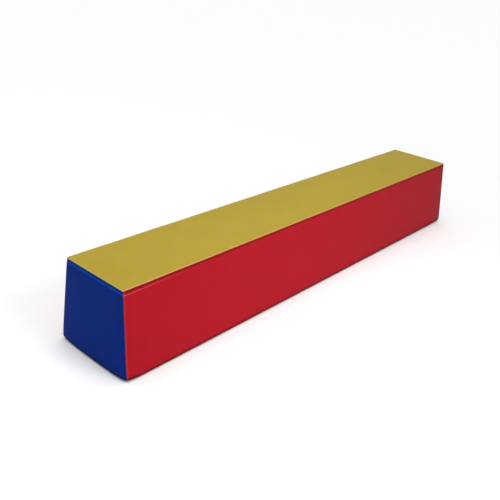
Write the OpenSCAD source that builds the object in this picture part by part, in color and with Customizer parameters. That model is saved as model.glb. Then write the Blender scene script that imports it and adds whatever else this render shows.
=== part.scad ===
// Foam balance beam: a trapezoid block of foam in a sewn vinyl cover that zips along its base.
// The base rests on z = 0, x runs along the beam, and y = 0 is the line of the zip.

/* [Beam] */
// Length over both end panels
beam_length = 1800; // [1500:50:2400]
// Width across the base, measured before its edges are rounded
base_width = 300; // [260:10:400]
// Width across the walking surface
top_width = 250; // [200:10:400]
// Height of the walking surface
beam_height = 270; // [150:10:400]
// Radius of the rounded edges at the base
edge_radius = 8; // [4:1:12]

/* [Cover] */
// Thickness of the coated fabric
vinyl = 0.8; // [0.6:0.1:1.2]
// Width of the strip turned in at each seam
allowance = 11; // [8:1:14]
// How far the side and end panels reach under the block
turn_under = 24; // [20:1:34]
// Width of the seam where a base panel laps over a turned-under edge
lap = 6; // [4:1:10]
// Slack between the foam and what covers it
core_gap = 0.2; // [0.1:0.05:0.3]

/* [Zip recess] */
// Height of the hollow that keeps the zip off the floor
recess_depth = 7.5; // [7.4:0.1:12]
// Room left between the hollow's side and the edge of the tape
recess_side_room = 2; // [1:0.5:6]
// Room left past each end of the tape
recess_end_room = 20; // [10:1:40]
// Run of the sloping sides of the hollow
recess_run = 10; // [6:1:16]

/* [Zip] */
// Length of the closed chain of teeth
zip_length = 1000; // [700:50:1200]
// Distance from one tooth to the next on the same tape
tooth_pitch = 5; // [4.8:0.1:6]
// Thickness of a tooth
tooth_thickness = 3; // [2.6:0.1:3.6]
// Distance from the centre line to the outer end of a tooth
tooth_reach = 4.75; // [4.5:0.05:5.5]
// How far the head of a tooth passes the centre line
head_reach = 1.8; // [1.6:0.05:2]
// Widest part of a tooth's head
head_width = 2.7; // [2.3:0.05:2.75]
// Narrowest part of a tooth's neck
neck_width = 1.5; // [1.2:0.05:1.6]
// Room between the bodies of two neighbouring teeth
tooth_space = 1.2; // [1:0.1:1.6]
// Room between a tooth's shoulders and the heads of the other row
shoulder_room = 0.7; // [0.5:0.1:0.9]
// How far past those heads a tooth's neck begins
neck_room = 0.1; // [0.05:0.05:0.3]
// Depth of the groove in a tooth that holds the tape
tape_bite = 1.7; // [1:0.1:2]
// Width of one tape outside its teeth
tape_width = 16; // [13:0.5:22]
// Thickness of the tape
tape = 0.7; // [0.5:0.1:1]
// Width of the folded edge of a base panel beside the zip
fold = 10; // [8:0.5:11]
// Length of one end stop along the tape
stop_length = 3.4; // [2.5:0.1:5]
// Tape left past each end stop
tape_tail = 22; // [15:1:30]

/* [Slider] */
// Length of the slider's body
slider_length = 15; // [13:0.5:18]
// Thickness of each slider plate
plate = 1.2; // [1:0.1:1.5]
// Thickness of the slider's side flanges
flange = 1.1; // [0.9:0.1:1.4]
// How much wider the slider is at its shoulders than at its mouth, on each side
shoulder_flare = 1.1; // [0.6:0.1:1.6]
// Depth of the notch between the two lobes of the slider's nose
nose_notch = 1.6; // [0.6:0.2:2.4]
// Clearance between the slider and the teeth, tapes and cover
running_gap = 0.3; // [0.2:0.05:0.4]
// Length of the bridge that carries the puller
bridge_length = 10; // [9:0.5:11]
// Width of the bridge
bridge_width = 3; // [2.4:0.1:3.6]
// Thickness of the bridge's arch
bridge_wall = 1.1; // [0.9:0.1:1.3]
// Outer radius of the two bends of the arch
bridge_bend = 1.8; // [1.2:0.1:2.2]

/* [Puller] */
// Length of the puller from its pin to its tip
puller_length = 31; // [24:1:40]
// Width of the puller at its tip
puller_width = 9; // [8:0.5:11]
// Thickness of the puller, and diameter of its pin
puller_thick = 1.6; // [1.2:0.1:1.8]
// Width of the puller at its pin
puller_eye_width = 7.8; // [7.6:0.1:8.4]
// Diameter of the hole near the puller's tip
puller_hole = 3; // [2:0.5:4]
// Clearance between the puller and the bridge
puller_gap = 0.25; // [0.15:0.05:0.3]

/* [Hidden] */

red = [0.70, 0.13, 0.17];
yellow = [0.73, 0.64, 0.26];
blue = [0.08, 0.18, 0.44];

// Reach of helper solids that only cut or limit others
past = 1;
half_length = beam_length / 2;
// Sideways lean of the side panels for each millimetre of height
lean = (base_width - top_width) / 2 / beam_height;
// Corner of the base panels in plan, inside the turned-under edges
base_half_x = half_length - turn_under;
base_half_y = base_width / 2 - turn_under;

// Heights of the zip's layers above the floor
roof = recess_depth;
fold_top = roof + 2 * vinyl;
tape_top = fold_top + tape;
chain_z = fold_top + tape / 2;
channel = tooth_thickness + 2 * running_gap;
outer_plate_z = chain_z - channel / 2 - plate;
inner_plate_z = chain_z + channel / 2;

// Slider, in plan
mouth_half = tooth_reach + running_gap + flange;
shoulder_half = mouth_half + shoulder_flare;
slot_half = shoulder_half + running_gap;
tape_gap = tape + 2 * running_gap;

// Bridge and puller
window_high = puller_thick + 2 * puller_gap;
bridge_drop = window_high + bridge_wall;
window_half = bridge_length / 2 - bridge_wall;
pin_z = outer_plate_z - window_high / 2;
pin_inset = window_half - puller_gap - puller_thick / 2;
arm_in = bridge_width / 2 + puller_gap;
eye_length = pin_inset + bridge_length / 2 + puller_gap + puller_thick / 2;

// Height where the walls end and the fabric of the walking surface begins
wall_top = beam_height - vinyl;
// Lowest and highest points of the strips that join the end panels to the sides
strip_low = turn_under;
strip_high = wall_top - allowance - lap;

// Zip, along x
chain_end = zip_length / 2;
slot_end = chain_end + stop_length + running_gap;
tape_end = slot_end + tape_tail;
tape_in = tooth_reach - tape_bite;
tape_out = tooth_reach + tape_width;
fold_out = slot_half + fold;
recess_half_x = tape_end + recess_end_room;
recess_half_y = tape_out + recess_side_room;
teeth = floor((zip_length - tooth_pitch / 2) / tooth_pitch);
slider_rest = chain_end - slider_length / 2;

// Half-width of a trapezoid whose side leans in, at height z, set in by d from its faces
function half_width(base, slope, z, d) = base / 2 - slope * z - d * sqrt(1 + slope * slope);

// Right half of the outline set in by d: an arc out of the base, then the straight side
function half_profile(base, slope, d, high) =
    let (arc_y = half_width(base, slope, edge_radius, edge_radius),
         arc_r = edge_radius - d,
         turn = 90 + atan(slope))
    concat(
        [for (i = [0:4]) [arc_y + arc_r * cos(turn * i / 4 - 90),
                          edge_radius + arc_r * sin(turn * i / 4 - 90)]],
        [[half_width(base, slope, high, d), high]]
    );

function profile(base, slope, d, high) =
    let (right = half_profile(base, slope, d, high))
    concat(right, [for (i = [len(right) - 1:-1:0]) [-right[i].x, right[i].y]]);

// The beam's cross-section set in by d, up to the height high
module cross_section(d, high) {
    polygon(profile(base_width, lean, d, high));
}

// A prism along x of whatever outline is given
module along_x(length) {
    rotate([90, 0, 90])
        linear_extrude(height = length, center = true) children();
}

// The beam's long view set in by d, as a prism across it
module long_view(d) {
    rotate([90, 0, 0])
        linear_extrude(height = base_width + 2 * past, center = true)
            polygon(profile(beam_length, 0, d, beam_height - d));
}

// A layer of fabric along the sides, between two distances in from the outside
module side_layer(outer, inner, length) {
    along_x(length)
        difference() {
            cross_section(outer, beam_height - outer);
            cross_section(inner, beam_height + past);
        }
}

// The whole block, set in by d on every face
module block(d) {
    intersection() {
        along_x(beam_length - 2 * d) cross_section(d, beam_height - d);
        long_view(d);
    }
}

// Everything between two heights
module band(low, high) {
    translate([-beam_length, -base_width, low])
        cube([2 * beam_length, 2 * base_width, high - low]);
}

// Centred bar along x from the height low to the height high
module bar(half_x, half_y, low, high) {
    translate([-half_x, -half_y, low])
        cube([2 * half_x, 2 * half_y, high - low]);
}

// The part of the underside that belongs to the end panel at +x, mitred to the corners
module end_lip_zone() {
    translate([0, 0, -past])
        linear_extrude(height = past + edge_radius)
            polygon([
                [half_length + past, -base_width / 2 - past],
                [base_half_x, -base_half_y],
                [base_half_x, base_half_y],
                [half_length + past, base_width / 2 + past]
            ]);
}

// The block without its top, set in by d behind the four walls and open upward
module core(d) {
    along_x(beam_length - 2 * d) cross_section(d, beam_height + past);
}

// The strip of the top panel that is turned down behind all four walls
module top_allowance() {
    intersection() {
        difference() {
            core(vinyl);
            core(2 * vinyl);
        }
        band(wall_top - allowance, wall_top);
    }
}

// Room in the foam for that strip
module top_allowance_room() {
    difference() {
        band(wall_top - allowance - core_gap, wall_top + past);
        core(2 * vinyl + core_gap);
    }
}

// The stretch at +x where the end panel is turned in behind the side walls
module end_strip_stretch(gap, beyond) {
    translate([half_length - vinyl - allowance - gap, -base_width, strip_low - gap])
        cube([allowance + gap + beyond, 2 * base_width, strip_high - strip_low + 2 * gap]);
}

// The strips of the end panel at +x, sewn to the side panels
module end_allowance() {
    intersection() {
        side_layer(vinyl, 2 * vinyl, beam_length);
        end_strip_stretch(0, 0);
    }
}

// Room in the foam for those strips
module end_allowance_room() {
    difference() {
        end_strip_stretch(core_gap, past);
        along_x(beam_length + 2 * past)
            cross_section(2 * vinyl + core_gap, beam_height + past);
    }
}

// The margin of both base panels, which laps over the turned-under edges, grown by gap
module base_lap(low, gap) {
    difference() {
        bar(base_half_x + allowance + gap, base_half_y + allowance + gap, low, 2 * vinyl + gap);
        bar(base_half_x - lap - gap, base_half_y - lap - gap, low - past, beam_height);
    }
}

// Half-size of the zip's hollow at height z, grown outward by g
function hollow_half(at_roof, z, g) =
    let (s = sqrt(recess_run * recess_run + roof * roof))
    at_roof + (g * s - recess_run * (z - roof)) / roof;

function hollow_profile(at_roof, g) = [
    [-hollow_half(at_roof, -past, g), -past],
    [hollow_half(at_roof, -past, g), -past],
    [hollow_half(at_roof, roof + g, g), roof + g],
    [-hollow_half(at_roof, roof + g, g), roof + g]
];

// The hollow under the zip, a long tray with sloping sides
module hollow(g) {
    intersection() {
        rotate([90, 0, 90])
            linear_extrude(height = beam_length, center = true)
                polygon(hollow_profile(recess_half_y, g));
        rotate([90, 0, 0])
            linear_extrude(height = base_width, center = true)
                polygon(hollow_profile(recess_half_x, g));
    }
}

// Room for the zip in the foam: the tapes lie in it, and the slider runs in it
module zip_bed() {
    bar(tape_end + core_gap, tape_out + core_gap, 0, tape_top + core_gap);
    bar(slot_end + running_gap, slot_half, 0, inner_plate_z + plate + running_gap);
}

module foam_core() {
    color([0.93, 0.90, 0.80])
        difference() {
            block(vinyl + core_gap);
            top_allowance_room();
            end_allowance_room();
            mirror([1, 0, 0]) end_allowance_room();
            base_lap(0, core_gap);
            hollow(vinyl + core_gap);
            zip_bed();
        }
}

module top_panel() {
    color(yellow) {
        intersection() {
            block(0);
            band(wall_top, beam_height + past);
        }
        top_allowance();
    }
}

// The side wall at -y, with the edge that is turned under the block
module side_panel() {
    difference() {
        intersection() {
            side_layer(0, vinyl, beam_length - 2 * vinyl);
            long_view(0);
            translate([-beam_length, -base_width, -past])
                cube([2 * beam_length, base_width, past + wall_top]);
        }
        end_lip_zone();
        mirror([1, 0, 0]) end_lip_zone();
        bar(base_half_x, base_half_y, -past, edge_radius);
    }
}

module front_side_panel() {
    color(red) side_panel();
}

module rear_side_panel() {
    color(red) mirror([0, 1, 0]) side_panel();
}

// The end wall at +x, with its turned-under edge and the strips sewn to the side panels
module end_panel() {
    intersection() {
        difference() {
            block(0);
            along_x(beam_length - 2 * vinyl) cross_section(-past, beam_height + past);
        }
        band(edge_radius, wall_top);
        translate([0, -base_width, 0]) cube([beam_length, 2 * base_width, beam_height]);
    }
    intersection() {
        difference() {
            block(0);
            block(vinyl);
        }
        end_lip_zone();
    }
    end_allowance();
}

module near_end_panel() {
    color(blue) mirror([1, 0, 0]) end_panel();
}

module far_end_panel() {
    color(blue) end_panel();
}

// The half of the base at -y: flat, then up the side of the hollow and folded at the zip
module base_panel() {
    difference() {
        intersection() {
            union() {
                bar(base_half_x, base_half_y, 0, vinyl);
                base_lap(vinyl, 0);
                hollow(vinyl);
                bar(slot_end, fold_out, roof, fold_top);
            }
            translate([-beam_length, -base_width, 0])
                cube([2 * beam_length, base_width, beam_height]);
        }
        hollow(0);
        bar(slot_end, slot_half, 0, fold_top + past);
    }
}

module base_panel_front() {
    color([0.13, 0.13, 0.14]) base_panel();
}

module base_panel_rear() {
    color([0.15, 0.15, 0.16]) mirror([0, 1, 0]) base_panel();
}

// One woven tape at -y, its inner edge held in the grooves of the teeth
module zip_tape() {
    translate([-tape_end, -tape_out, fold_top])
        cube([2 * tape_end, tape_out - tape_in, tape]);
}

module zip_tape_front() {
    color([0.20, 0.20, 0.21]) zip_tape();
}

module zip_tape_rear() {
    color([0.22, 0.22, 0.23]) mirror([0, 1, 0]) zip_tape();
}

// Outline of a tooth of the front tape: a body, and a dovetail head that locks between two others
tooth_body_half = (tooth_pitch - tooth_space) / 2;
shoulder_y = -head_reach - shoulder_room;
neck_y = -head_reach - neck_room;
tooth_outline = [
    [-tooth_body_half, -tooth_reach],
    [tooth_body_half, -tooth_reach],
    [tooth_body_half, shoulder_y],
    [neck_width / 2, neck_y],
    [head_width / 2, head_reach / 2],
    [head_width / 4, head_reach],
    [-head_width / 4, head_reach],
    [-head_width / 2, head_reach / 2],
    [-neck_width / 2, neck_y],
    [-tooth_body_half, shoulder_y]
];

// The front row of teeth, moulded round the edge of its tape
module teeth_row(start) {
    difference() {
        for (i = [0:teeth - 1])
            translate([start + i * tooth_pitch, 0, chain_z])
                linear_extrude(height = tooth_thickness, center = true)
                    polygon(tooth_outline);
        zip_tape();
    }
}

first_tooth = -chain_end + tooth_pitch / 2;

module zip_teeth_front() {
    color([0.55, 0.56, 0.58]) teeth_row(first_tooth);
}

module zip_teeth_rear() {
    color([0.50, 0.51, 0.53]) mirror([0, 1, 0]) teeth_row(first_tooth + tooth_pitch / 2);
}

// A stop clamped on the front tape past the closed end of the chain
module top_stop() {
    difference() {
        translate([chain_end + running_gap, -tooth_reach, chain_z - tooth_thickness / 2])
            cube([stop_length, tooth_reach - running_gap, tooth_thickness]);
        zip_tape();
    }
}

module zip_top_stops() {
    color("silver") {
        top_stop();
        mirror([0, 1, 0]) top_stop();
    }
}

// One stop that holds both tapes together at the start of the chain
module zip_bottom_stop() {
    color("silver")
        difference() {
            translate([-chain_end - stop_length, -tooth_reach, chain_z - tooth_thickness / 2])
                cube([stop_length, 2 * tooth_reach, tooth_thickness]);
            zip_tape();
            mirror([0, 1, 0]) zip_tape();
        }
}

nose = slider_length / 2;
lobe = shoulder_half / 2;

// Plan of the slider: a straight mouth, sides that flare to the shoulders, and a nose of two lobes
module slider_plan() {
    polygon([
        [-nose, -mouth_half],
        [-lobe / 2, -mouth_half],
        [lobe / 2, -shoulder_half],
        [nose - lobe, -shoulder_half],
        [nose - lobe, -lobe],
        [nose - nose_notch, -lobe],
        [nose - nose_notch, lobe],
        [nose - lobe, lobe],
        [nose - lobe, shoulder_half],
        [lobe / 2, shoulder_half],
        [-lobe / 2, mouth_half],
        [-nose, mouth_half]
    ]);
    for (side = [-1, 1])
        translate([nose - lobe, side * lobe])
            circle(r = lobe, $fn = 48);
}

// Plan of the channel that the teeth run through, open at both ends
module channel_plan() {
    mouth_in = mouth_half - flange;
    shoulder_in = shoulder_half - flange;
    polygon([
        [-nose - past, -mouth_in],
        [-lobe / 2, -mouth_in],
        [lobe / 2, -shoulder_in],
        [nose + past, -shoulder_in],
        [nose + past, shoulder_in],
        [lobe / 2, shoulder_in],
        [-lobe / 2, mouth_in],
        [-nose - past, mouth_in]
    ]);
}

// The two side flanges of a slider plate, which close on the teeth and leave the tape free
module slider_flanges(high) {
    linear_extrude(height = high)
        difference() {
            slider_plan();
            channel_plan();
        }
}

// Side view of the bridge: two legs, and an arch with two round bends over the puller's pin
module bridge_outline() {
    bend_x = bridge_length / 2 - bridge_bend;
    bend_z = -bridge_drop + bridge_bend;
    difference() {
        union() {
            translate([-bridge_length / 2, bend_z])
                square([bridge_length, -bend_z]);
            translate([-bend_x, -bridge_drop])
                square([2 * bend_x, bridge_drop]);
            for (side = [-1, 1])
                translate([side * bend_x, bend_z])
                    circle(r = bridge_bend, $fn = 48);
        }
        translate([-window_half, -window_high])
            square([2 * window_half, window_high]);
    }
}

flange_high = (channel - tape_gap) / 2;

// Outer half of the slider: plate, flanges and the bridge that the puller hangs from
module zip_slider() {
    color("silver")
        translate([slider_rest, 0, 0]) {
            translate([0, 0, outer_plate_z])
                linear_extrude(height = plate) slider_plan();
            translate([0, 0, outer_plate_z + plate])
                slider_flanges(flange_high);
            translate([0, 0, outer_plate_z])
                rotate([90, 0, 0])
                    linear_extrude(height = bridge_width, center = true) bridge_outline();
        }
}

// Inner half of the slider, between the teeth and the foam
module zip_slider_back() {
    color([0.72, 0.72, 0.74])
        translate([slider_rest, 0, 0]) {
            translate([0, 0, inner_plate_z])
                linear_extrude(height = plate) slider_plan();
            translate([0, 0, inner_plate_z - flange_high])
                slider_flanges(flange_high);
        }
}

// The puller, lying flat along the zip, with its pin through the slider's bridge: an open eye
// whose arms widen into a blade with a round tip
module zip_puller() {
    tip = puller_width / 2;
    arm_out = puller_eye_width / 2;
    color([0.60, 0.61, 0.63])
        translate([slider_rest - pin_inset, 0, pin_z]) {
            rotate([90, 0, 0])
                cylinder(h = puller_eye_width, d = puller_thick, center = true, $fn = 32);
            translate([0, 0, -puller_thick / 2])
                linear_extrude(height = puller_thick)
                    difference() {
                        union() {
                            polygon([
                                [0, -arm_out],
                                [0, arm_out],
                                [-puller_length + tip, tip],
                                [-puller_length + tip, -tip]
                            ]);
                            translate([-puller_length + tip, 0])
                                circle(r = tip, $fn = 48);
                        }
                        translate([-eye_length, -arm_in])
                            square([eye_length + past, 2 * arm_in]);
                        translate([-puller_length + tip, 0])
                            circle(d = puller_hole, $fn = 32);
                    }
        }
}

foam_core();
top_panel();
front_side_panel();
rear_side_panel();
near_end_panel();
far_end_panel();
base_panel_front();
base_panel_rear();
zip_tape_front();
zip_tape_rear();
zip_teeth_front();
zip_teeth_rear();
zip_top_stops();
zip_bottom_stop();
zip_slider();
zip_slider_back();
zip_puller();
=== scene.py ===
import math

import bpy
import numpy as np
from mathutils import Matrix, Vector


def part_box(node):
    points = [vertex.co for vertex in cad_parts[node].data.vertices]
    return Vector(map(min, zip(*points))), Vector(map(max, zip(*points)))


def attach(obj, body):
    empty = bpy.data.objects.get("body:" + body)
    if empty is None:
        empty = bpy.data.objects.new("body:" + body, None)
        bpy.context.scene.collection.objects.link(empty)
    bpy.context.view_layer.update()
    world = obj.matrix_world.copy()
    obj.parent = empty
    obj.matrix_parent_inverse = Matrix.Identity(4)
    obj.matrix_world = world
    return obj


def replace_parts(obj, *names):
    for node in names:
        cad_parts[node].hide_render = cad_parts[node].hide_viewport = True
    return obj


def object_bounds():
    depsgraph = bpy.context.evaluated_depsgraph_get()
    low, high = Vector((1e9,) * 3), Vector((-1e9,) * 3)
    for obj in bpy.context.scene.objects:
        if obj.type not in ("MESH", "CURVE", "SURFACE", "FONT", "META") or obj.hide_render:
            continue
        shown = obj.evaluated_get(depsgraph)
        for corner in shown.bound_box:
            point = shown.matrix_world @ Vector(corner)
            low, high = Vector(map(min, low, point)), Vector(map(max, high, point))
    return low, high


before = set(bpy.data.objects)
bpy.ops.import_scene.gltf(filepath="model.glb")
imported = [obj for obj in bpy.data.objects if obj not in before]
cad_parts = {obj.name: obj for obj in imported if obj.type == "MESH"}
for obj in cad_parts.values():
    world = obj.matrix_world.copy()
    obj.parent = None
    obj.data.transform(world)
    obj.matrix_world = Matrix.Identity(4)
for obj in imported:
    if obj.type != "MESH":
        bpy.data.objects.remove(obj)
cadLow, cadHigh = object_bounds()

# The block: x runs along it, y across it, and its base rests on z = 0
block = {
    "baseArc": 0.008,  # radius of the rounded edges at the base
    "turnUnder": 0.024,  # how far the walls reach under the block
    "fabric": 0.0008,  # thickness of the coated fabric
    "allowance": 0.011,  # strip turned in at each seam
    "gridStep": 0.006,  # spacing of the panels' grids along the beam
}
halfLength = cadHigh.x
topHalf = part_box("top_panel")[1].y
wallTop = cadHigh.z - block["fabric"]
tilt = 0.0  # lean of the long sides, found in a few rounds because the base arc depends on it
for _ in range(4):
    tangentHeight = block["baseArc"] * (1 + math.sin(tilt))
    tilt = math.atan((cadHigh.y - topHalf) / (wallTop - tangentHeight))
sideCentre = cadHigh.y - block["baseArc"] * math.cos(tilt)
endCentre = halfLength - block["baseArc"]
lipLength = block["turnUnder"] - block["baseArc"]


def smooth(x):
    # 0 below 0, 1 above 1, and 3x^2 - 2x^3 between them
    x = np.clip(x, 0, 1)
    return x * x * (3 - 2 * x)


def bell(x, width):
    # exp(-(x / width)^2)
    return np.exp(-(x / width) ** 2)


def ripple(x, wavelength, seed):
    # Three sines whose wavelengths have no common measure, between about -1 and 1
    turn = 2 * math.pi * x / wavelength
    return (np.sin(turn + seed) + np.sin(1.618 * turn + 2.3 * seed)
            + 0.7 * np.sin(2.414 * turn + 4.1 * seed)) / 2.7


def newObject(name, data):
    # An object in the scene that holds the data
    thing = bpy.data.objects.new(name, data)
    bpy.context.scene.collection.objects.link(thing)
    return thing


def addPiece(name, points, faces, finish, slotName, wall=0.0, caps=(), **attributes):
    # Makes a smooth mesh that rides on the beam; wall is its thickness, inwards. caps holds further
    # faces, of any number of corners
    mesh = bpy.data.meshes.new(name)
    mesh.from_pydata(points.tolist(), [], faces.tolist() + list(caps))
    mesh.shade_smooth()
    for key, values in attributes.items():
        layer = mesh.attributes.new(key, "FLOAT", "POINT")
        layer.data.foreach_set("value", values.astype(np.float32))
    mesh.validate()
    piece = newObject(name, mesh)
    mesh.materials.append(finish)
    if wall:
        thicken = piece.modifiers.new("fabric", "SOLIDIFY")
        thicken.thickness = wall
        thicken.offset = -1
        thicken.use_rim = True
    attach(piece, "beam")
    return piece


# The swell of the tight cover, from a cloth simulation of the whole block as one closed shell
swelling = {
    "cells": (90, 12, 14),  # cells along, across and up
    "pressure": 0.35,
    "frames": 20,
    "quality": 5,  # solver steps in a frame
    "mass": 0.7,  # of each point
    "stiffness": 40,  # against stretch and squeeze
    "bending": 4,
    "cap": 0.0038,  # furthest that the fabric lifts off the foam
    "rim": 0.999,  # cube coordinate past which a point counts as on a face
}
# The cube's axis and side of each panel that swells
swollenFaces = {"front": (1, -1), "rear": (1, 1), "near": (0, -1), "far": (0, 1), "top": (2, 1)}


def gridQuads(index):
    # The quads between the points of a grid, whose numbers are given
    return np.stack([index[:-1, :-1], index[1:, :-1], index[1:, 1:], index[:-1, 1:]], -1).reshape(-1, 4)


def cubeShell(marks):
    # The surface of a cube from -1 to 1 as six grids whose shared edges are one row of points;
    # marks gives the grid lines along each axis
    corners, quads, count = [], [], 0
    for axis in range(3):
        a, b = (axis + 1) % 3, (axis + 2) % 3
        na, nb = len(marks[a]), len(marks[b])
        ga, gb = np.meshgrid(marks[a], marks[b], indexing="ij")
        for side in (-1, 1):
            spot = np.empty((na * nb, 3))
            spot[:, axis], spot[:, a], spot[:, b] = side, ga.ravel(), gb.ravel()
            quad = gridQuads(np.arange(na * nb).reshape(na, nb) + count)
            quads.append(quad if side > 0 else quad[:, ::-1])
            corners.append(spot)
            count += na * nb
    every = np.concatenate(corners)
    shared, index = np.unique(np.round(every, 6), axis=0, return_inverse=True)
    return shared, index.reshape(-1)[np.concatenate(quads)]


def blockFromCube(t):
    # Cube coordinates carried to the block: its half-width falls in a straight line with height
    z = (t[:, 2] + 1) / 2 * cadHigh.z
    half = topHalf + (cadHigh.z - z) * math.tan(tilt)
    return np.stack([t[:, 0] * halfLength, t[:, 1] * half, z], -1)


def simulateSwell():
    # Blows the shell up against its pinned seams, and returns each face's lift as a grid of vectors
    cube, faces = cubeShell([np.linspace(-1, 1, count + 1) for count in swelling["cells"]])
    still = blockFromCube(cube)
    lift = np.zeros_like(still)
    onEdge = (np.abs(cube) > swelling["rim"]).sum(1) >= 2
    mesh = bpy.data.meshes.new("swellShell")
    mesh.from_pydata(still.tolist(), [], faces.tolist())
    shell = newObject("swellShell", mesh)
    pins = shell.vertex_groups.new(name="seams")
    pins.add(np.flatnonzero(onEdge | (cube[:, 2] < -swelling["rim"])).tolist(), 1.0, "REPLACE")
    cloth = shell.modifiers.new("cloth", "CLOTH")
    fabric = cloth.settings
    fabric.quality = swelling["quality"]
    fabric.mass = swelling["mass"]
    fabric.tension_stiffness = swelling["stiffness"]
    fabric.compression_stiffness = swelling["stiffness"]
    fabric.bending_stiffness = swelling["bending"]
    fabric.use_pressure = True
    fabric.uniform_pressure_force = swelling["pressure"]
    fabric.vertex_group_mass = "seams"
    fabric.effector_weights.gravity = 0
    cloth.point_cache.frame_end = swelling["frames"]
    for step in range(1, swelling["frames"] + 1):
        bpy.context.scene.frame_set(step)
    solved = shell.evaluated_get(bpy.context.evaluated_depsgraph_get())
    moved = np.empty(len(still) * 3, np.float32)
    solved.data.vertices.foreach_get("co", moved)
    lift = moved.reshape(-1, 3) - still
    bpy.context.scene.frame_set(1)
    bpy.data.objects.remove(shell)
    bpy.data.meshes.remove(mesh)
    length = np.linalg.norm(lift, axis=1, keepdims=True)
    furthest = round(float(length.max()) * 1000, 1)
    print("swell: the fabric lifts by up to", furthest, "mm before the cap")
    lift *= swelling["cap"] * np.tanh(length / swelling["cap"]) / np.maximum(length, 1e-9)
    grids = {}
    for face, (axis, side) in swollenFaces.items():
        a, b = [i for i in range(3) if i != axis]
        on = np.flatnonzero(cube[:, axis] * side > swelling["rim"])
        on = on[np.lexsort((cube[on, b], cube[on, a]))]
        grids[face] = lift[on].reshape(swelling["cells"][a] + 1, swelling["cells"][b] + 1, 3)
    return grids


swellGrids = simulateSwell()


def swell(points, face):
    # The simulated lift at each point, read from that face's grid by bilinear interpolation
    x, y, z = points.T
    half = topHalf + (cadHigh.z - z) * math.tan(tilt)
    t = np.stack([x / halfLength, y / half, z / cadHigh.z * 2 - 1], -1)
    axes = [i for i in range(3) if i != swollenFaces[face][0]]
    grid = swellGrids[face]
    size = np.array(grid.shape[:2]) - 1
    spot = (np.clip(t[:, axes], -1, 1) + 1) / 2 * size
    cell = np.minimum(spot.astype(int), size - 1)
    (i, j), (fi, fj) = cell.T, (spot - cell).T[:, :, None]
    low = grid[i, j] * (1 - fi) + grid[i + 1, j] * fi
    high = grid[i, j + 1] * (1 - fi) + grid[i + 1, j + 1] * fi
    return points + (low * (1 - fj) + high * fj)


# How the sewn cover departs from a true block
fit = {
    "slackCorner": 0.0040,  # how far the lower corner at the near end's front is pulled up
    "tightCorner": 0.0026,  # and the other three
    "cornerIn": 0.4,  # share of that by which they are pulled in
    "cornerReach": 0.028,  # distance over which that fades
    "seamWander": 0.0006,  # how far the long top seams wander to the side
    "wanderWave": 0.31,  # length of that
    "wanderReach": 0.05,  # and distance below them over which it fades
    "footBow": 0.0005,  # how far the middle of the long sides stands out at the base
    "endBow": 0.0035,  # and the middle of the ends
    "bowReach": 0.09,  # height over which both fade
    "bowWidth": 0.12,  # distance from the middle line over which the sides' bow grows
    "endRun": (0.7, 0.2),  # where the ends' bow starts along the beam, and over what length it grows
    "pullWidth": 0.06,  # distance from the middle line over which the corners' pull grows
    "tuck": 0.00035,  # height of the small tucks that stand square to a seam
    "tuckReach": 0.012,  # how far they run into the panel
}


def settle(points):
    # Moves any part of the cover as the sewing and the foam hold it
    x, y, z = points.T.copy()
    wander = fit["seamWander"] * ripple(x, fit["wanderWave"], 1.0) \
        * bell(cadHigh.z - z, fit["wanderReach"])
    low = bell(z, fit["bowReach"])
    bow = fit["footBow"] * (1 - (x / halfLength) ** 2) * low * smooth(np.abs(y) / fit["bowWidth"])
    endStart, endGrowth = fit["endRun"]
    endBow = fit["endBow"] * (1 - (y / cadHigh.y) ** 2) * low \
        * smooth((np.abs(x) - endStart) / endGrowth)
    foot = smooth(np.abs(y) / fit["pullWidth"])
    near = np.hypot(np.abs(x) - halfLength, np.abs(y) - cadHigh.y)
    pull = np.exp(-np.hypot(near, z) ** 2 / fit["cornerReach"] ** 2)
    lift = pull * np.where((x < 0) & (y < 0), fit["slackCorner"], fit["tightCorner"])
    y = y + np.sign(y) * (wander + bow - fit["cornerIn"] * lift * foot)
    x = x + np.sign(x) * (endBow - fit["cornerIn"] * lift)
    z = z + lift
    return np.stack([x, y, z], -1)


# The foam inside
foam = {
    "clear": 0.0016,  # room between the foam and the panels
    "rounding": 0.020,  # its cut edges, as the cover squeezes them
    "zipRise": 0.0115,  # how far the underside is hollowed over the zip
    "zipHalf": (0.566, 0.037),  # half-size of that hollow
    "zipSlope": 0.010,
    "hollowFade": 0.06,  # height at which it has faded
    "gridSteps": (0.03, 0.012, 0.03),
    "gridMargin": 0.03,  # from the block's edges to the evenly spaced lines
    "arcLines": 6,  # grid lines round an edge
}


def foamBlock(finish):
    # A box whose points are pushed out from an inner box by the rounding, then leaned in
    half = np.array([halfLength, (topHalf + cadHigh.y) / 2, cadHigh.z / 2]) - foam["clear"]
    near = foam["rounding"] * (1 - np.cos(np.linspace(0, math.pi / 2, foam["arcLines"])))
    marks = []
    for size, step in zip(half, foam["gridSteps"]):
        middle = np.arange(-size + foam["gridMargin"], size - foam["gridMargin"], step)
        line = np.concatenate([-size + near, middle, size - near])
        marks.append(np.unique(np.round(line, 6)) / size)
        marks[-1][[0, -1]] = -1, 1
    cube, faces = cubeShell(marks)
    point = cube * half
    core = np.clip(point, foam["rounding"] - half, half - foam["rounding"])
    away = point - core
    point = core + foam["rounding"] * away / np.linalg.norm(away, axis=1, keepdims=True)
    z = point[:, 2] + cadHigh.z / 2
    y = point[:, 1] * (topHalf + (cadHigh.z - z) * math.tan(tilt) - foam["clear"]) / half[1]
    overZip = smooth((foam["zipHalf"][0] - np.abs(point[:, 0])) / foam["zipSlope"]) \
        * smooth((foam["zipHalf"][1] - np.abs(y)) / foam["zipSlope"])
    z = z + foam["zipRise"] * overZip * smooth(1 - z / foam["hollowFade"])
    points = settle(np.stack([point[:, 0], y, z], -1))
    piece = addPiece("foamBlock", points, faces, finish, "foam")
    return piece


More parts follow.
